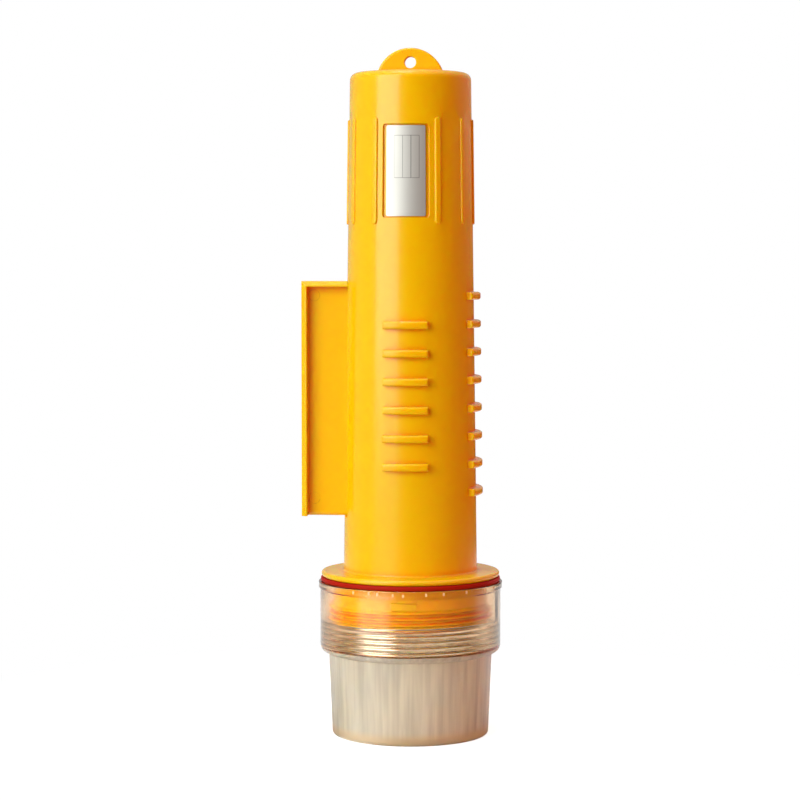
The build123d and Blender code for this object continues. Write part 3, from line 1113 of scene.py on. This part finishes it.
class BUOY_OT_add_charging_socket(bpy.types.Operator):
    """Model the round charging socket with its pin and spanner slots"""

    bl_idname = "buoy.add_charging_socket"
    bl_label = "Add Charging Socket"

    def execute(self, context):
        centre, seat, radius = control_frame("charging_socket")
        neck = 3.4 * MM
        top = PLATE_HIGH.z - centre.z
        bore = 2.75 * MM
        bore_end = top - 1.2 * MM
        pin = 1.0 * MM
        pin_end = 0.7 * MM
        groove = seat - 0.7 * MM
        groove_depth = 0.3 * MM
        groove_half = 0.2 * MM
        slot_depth = 0.8 * MM
        slot_half_angle = radians(12)
        outline = rounded(
            [
                (0, pin_end, 0),
                (pin, pin_end, 0.4 * MM),
                (pin, bore_end, 0),
                (bore, bore_end, 0),
                (bore, 0, 0.25 * MM),
                (radius, 0, 0.45 * MM),
                (radius, groove - groove_half, 0),
                (radius - groove_depth, groove, 0),
                (radius, groove + groove_half, 0),
                (radius, seat, 0),
                (neck, seat, 0),
                (neck, top, 0),
                (0, top, 0),
            ]
        )
        socket = turned("charging_socket_detail", outline, 64, centre)

        def in_slot(face):
            """Whether a face lies on the flat rim, in one of the two spanner slots."""
            arm = face.calc_center_median() - centre
            across = abs(atan2(arm.x, arm.y))
            on_rim = abs(arm.z) < FLUSH and bore < hypot(arm.x, arm.y) < radius
            return on_rim and (across < slot_half_angle or across > pi - slot_half_angle)

        with edit_mode(socket):
            select_faces(socket, in_slot)
            bpy.ops.mesh.extrude_region_move(TRANSFORM_OT_translate={"value": (0, 0, slot_depth)})
        finish(socket, "housing", nickel(), ["charging_socket"])
        return {"FINISHED"}


class BUOY_OT_add_power_button(bpy.types.Operator):
    """Model the power button: a rubber boot in a metal bezel"""

    bl_idname = "buoy.add_power_button"
    bl_label = "Add Power Button"

    def execute(self, context):
        centre, seat, radius = control_frame("power_button")
        neck = 3.6 * MM
        top = PLATE_HIGH.z - centre.z
        boot = 3.1 * MM
        boot_end = seat - 0.4 * MM
        step_back = 0.3 * MM
        bezel = boot + 0.5 * MM
        bezel_face = 0.7 * MM
        flute_depth = 0.3 * MM
        flute_step = pi / 12
        flute_half_angle = radians(3)
        outline = rounded(
            [
                (0, 0.0, 0),
                (boot - 2 * step_back, 0.15 * MM, 0.4 * MM),
                (boot - step_back, 0.9 * MM, 0),
                (boot, 1.0 * MM, 0.1 * MM),
                (boot, 1.5 * MM, 0.1 * MM),
                (boot - step_back, 1.6 * MM, 0),
                (boot, boot_end, 0),
                (bezel, boot_end, 0),
                (bezel, bezel_face, 0.2 * MM),
                (radius, bezel_face, 0.35 * MM),
                (radius, seat, 0),
                (neck, seat, 0),
                (neck, top, 0),
                (0, top, 0),
            ]
        )
        button = turned("power_button_detail", outline, 72, centre)

        def in_flute(face):
            """Whether a face lies in one of the flutes round the bezel."""
            arm = face.calc_center_median() - centre
            angle = atan2(arm.y, arm.x)
            near = abs(angle - round(angle / flute_step) * flute_step) < flute_half_angle
            return near and hypot(arm.x, arm.y) > radius - NEARLY and arm.z < seat - NEARLY

        with edit_mode(button):
            select_faces(button, in_flute)
            bpy.ops.mesh.extrude_region_move()
            scale = 1 - flute_depth / radius
            bpy.ops.transform.resize(value=(scale, scale, 1), center_override=centre)
        finish(button, "housing", button_rubber(), ["power_button"])
        paint_faces(button, nickel(), lambda face: hypot(*(face.center - centre).xy) > boot + NEARLY)
        return {"FINISHED"}


class BUOY_OT_add_indicator_lens(bpy.types.Operator):
    """Model the clear indicator lens and the lamp inside it"""

    bl_idname = "buoy.add_indicator_lens"
    bl_label = "Add Indicator Lens"

    def execute(self, context):
        centre, seat, radius = control_frame("indicator_lens")
        neck = 2.4 * MM
        top = PLATE_HIGH.z - centre.z
        dome = radius - 0.4 * MM
        lamp = 1.4 * MM
        lamp_end = 1.4 * MM
        lamp_flange = seat + 0.9 * MM
        lamp_top = seat + 1.5 * MM
        bore = lamp + 0.3 * MM
        bore_end = 0.9 * MM
        lens_outline = rounded(
            [
                (0, 0, 0),
                (dome, 0, 1.5 * MM),
                (dome, seat - 1.0 * MM, 0),
                (radius, seat - 0.8 * MM, 0),
                (radius, seat, 0),
                (neck, seat, 0),
                (neck, top, 0),
                (bore, top, 0),
                (bore, bore_end, 0.9 * MM),
                (0, bore_end, 0),
            ]
        )
        lens = turned("indicator_lens_detail", lens_outline, 64, centre)
        finish(lens, "housing", lens_plastic(), ["indicator_lens"])
        lamp_outline = rounded(
            [
                (0, lamp_end, 0),
                (lamp, lamp_end, 1.0 * MM),
                (lamp, lamp_flange, 0),
                (lamp + 0.2 * MM, lamp_flange, 0),
                (lamp + 0.2 * MM, lamp_top, 0),
                (0, lamp_top, 0),
            ]
        )
        bulb = turned("indicator_lamp", lamp_outline, 48, centre)
        finish(bulb, "housing", lamp_resin())
        return {"FINISHED"}


class BUOY_OT_add_plate_screws(bpy.types.Operator):
    """Model the cross head screws that hold the end plate"""

    bl_idname = "buoy.add_plate_screws"
    bl_label = "Add Plate Screws"

    def execute(self, context):
        screw_circle = 34.9 * MM
        radius = 2.2 * MM
        height = 1.3 * MM
        shank_end = height + 2 * MM
        cross_core = 0.3 * radius
        cross_reach = 0.6 * radius
        cross_half_angle = radians(18)
        cross_depth = 0.8 * MM
        centre = Vector((screw_circle, 0, PLATE_LOW.z - height))
        outline = rounded(
            [
                (0, 0, 0),
                (cross_core, 0, 0),
                (0.62 * radius, 0, 0),
                (radius, 0.1 * MM, 0.5 * MM),
                (radius, height, 0),
                (radius / 2, height, 0),
                (radius / 2, shank_end, 0),
                (0, shank_end, 0),
            ]
        )
        screw = turned("plate_screw", outline, 40, centre)

        def in_cross(face):
            """Whether a face lies in the cross recess."""
            arm = face.calc_center_median() - centre
            turn_from_arm = abs((atan2(arm.y, arm.x) + pi / 4) % (pi / 2) - pi / 4)
            reach = hypot(arm.x, arm.y)
            on_face = arm.z < FLUSH and reach < cross_reach
            return on_face and (turn_from_arm < cross_half_angle or reach < cross_core)

        with edit_mode(screw):
            select_faces(screw, in_cross)
            bpy.ops.mesh.extrude_region_move(TRANSFORM_OT_translate={"value": (0, 0, cross_depth)})
        turn(screw, pi / 4)
        for copy in spread_round(screw, 4, pi / 2):
            finish(copy, "housing", nickel())
        return {"FINISHED"}


class BUOY_OT_finish_solids(bpy.types.Operator):
    """Give each solid that stays in view its material"""

    bl_idname = "buoy.finish_solids"
    bl_label = "Finish Solids"

    def execute(self, context):
        finishes = {
            "housing": housing_plastic(),
            "side_bracket": housing_plastic(),
            "end_plate": housing_plastic(),
            "seal_ring": seal_rubber(),
            "label_plate": label_silver(),
            "battery_pack": cell_wrap(),
        }
        for node, material in finishes.items():
            frame["nodes"][node].material_slots[0].material = material
        return {"FINISHED"}


class BUOY_OT_set_stage(bpy.types.Operator):
    """Set the pale floor, the soft light and the camera"""

    bl_idname = "buoy.set_stage"
    bl_label = "Set Stage"

    def execute(self, context):
        scene = context.scene
        settings = scene.buoy_stage
        self.add_floor()
        scene.world = studio_world(settings)
        self.add_lamp("key", settings.key_power, azimuth=-39, distance=1.5, height=0.7, size=1.25)
        back = self.add_lamp(
            "back", settings.back_power, azimuth=160, distance=1.4, height=0.6, size=1.3, color=(1, 0.95, 0.9)
        )
        self.add_lamp("top", settings.top_power, azimuth=-45, distance=0.3, height=1.9, size=0.8)
        fill = self.add_lamp(
            "fill", settings.fill_power, azimuth=80, distance=1.4, height=0.35, size=0.9, color=settings.fill_color
        )
        for unseen in (fill, back):
            unseen.visible_glossy = False
            unseen.visible_transmission = False
        self.add_camera(scene, settings)
        scene.view_settings.view_transform = "Standard"
        return {"FINISHED"}

    def add_floor(self):
        """A wide round floor under the buoy."""
        bpy.ops.object.select_all(action="DESELECT")
        bpy.ops.mesh.primitive_circle_add(vertices=64, radius=0.8, fill_type="NGON", location=(0, 0, 0))
        floor = bpy.context.object
        floor.name = "floor"
        floor.data.materials.append(pale_floor())

    def add_lamp(self, name, power, azimuth, distance, height, size, color=(1, 1, 1)):
        """A soft square lamp aimed at the middle of the buoy; its azimuth is in degrees from the front."""
        target = Vector((0, 0, HOUSING_HIGH.z / 2))
        place = Vector((distance * sin(radians(azimuth)), -distance * cos(radians(azimuth)), height))
        data = bpy.data.lights.new(name, "AREA")
        data.shape = "SQUARE"
        data.size = size
        data.energy = power
        data.color = color
        lamp = bpy.data.objects.new(name, data)
        lamp.location = place
        lamp.rotation_euler = (target - place).to_track_quat("-Z", "Y").to_euler()
        bpy.context.collection.objects.link(lamp)
        return lamp

    def add_camera(self, scene, settings):
        """The camera of the photograph, aimed by its horizon row and the buoy's column."""
        frame_pixels = 800
        data = bpy.data.cameras.new("camera")
        data.sensor_width = 36
        data.lens = settings.focal_pixels / frame_pixels * data.sensor_width
        camera = bpy.data.objects.new("camera", data)
        camera.location = (
            settings.distance * sin(settings.azimuth),
            -settings.distance * cos(settings.azimuth),
            settings.height,
        )
        pitch = atan2(frame_pixels / 2 - settings.horizon_row, settings.focal_pixels)
        yaw = atan2(settings.axis_column - frame_pixels / 2, settings.focal_pixels)
        camera.rotation_euler = (pi / 2 - pitch, 0, settings.azimuth + yaw)
        scene.collection.objects.link(camera)
        scene.camera = camera


class BUOY_PT_tools(bpy.types.Panel):
    """Lists the buoy's settings and steps in the sidebar"""

    bl_idname = "BUOY_PT_tools"
    bl_label = "Net Tracking Buoy"
    bl_space_type = "VIEW_3D"
    bl_region_type = "UI"
    bl_category = "Buoy"

    def draw(self, context):
        for group_name in ("buoy_cap", "buoy_spigot", "buoy_finish", "buoy_stage"):
            box = self.layout.box()
            settings = getattr(context.scene, group_name)
            for setting in settings.bl_rna.properties:
                if setting.identifier not in ("rna_type", "name"):
                    box.prop(settings, setting.identifier)
        for step in STEPS:
            self.layout.operator(step.bl_idname)


STEPS = (
    BUOY_OT_make_effects,
    BUOY_OT_add_cap,
    BUOY_OT_add_rim_pips,
    BUOY_OT_add_spigot_thread,
    BUOY_OT_add_spigot_pad,
    BUOY_OT_add_charging_socket,
    BUOY_OT_add_power_button,
    BUOY_OT_add_indicator_lens,
    BUOY_OT_add_plate_screws,
    BUOY_OT_finish_solids,
    BUOY_OT_set_stage,
)
SETTINGS = {
    "buoy_cap": BuoyCapSettings,
    "buoy_spigot": BuoySpigotSettings,
    "buoy_finish": BuoyFinishSettings,
    "buoy_stage": BuoyStageSettings,
}


def register():
    """Registers the settings, steps and panel."""
    for name, settings in SETTINGS.items():
        bpy.utils.register_class(settings)
        setattr(bpy.types.Scene, name, PointerProperty(type=settings))
    for step in STEPS:
        bpy.utils.register_class(step)
    bpy.utils.register_class(BUOY_PT_tools)


def unregister():
    """Removes what register added."""
    bpy.utils.unregister_class(BUOY_PT_tools)
    for step in reversed(STEPS):
        bpy.utils.unregister_class(step)
    for name, settings in SETTINGS.items():
        delattr(bpy.types.Scene, name)
        bpy.utils.unregister_class(settings)


def main():
    """Builds the whole scene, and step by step."""
    register()
    bpy.ops.buoy.make_effects()
    bpy.ops.buoy.add_cap()
    bpy.ops.buoy.add_rim_pips()
    bpy.ops.buoy.add_spigot_thread()
    bpy.ops.buoy.add_spigot_pad()
    bpy.ops.buoy.add_charging_socket()
    bpy.ops.buoy.add_power_button()
    bpy.ops.buoy.add_indicator_lens()
    bpy.ops.buoy.add_plate_screws()
    bpy.ops.buoy.finish_solids()
    bpy.ops.buoy.set_stage()


if __name__ == "__main__":
    main()
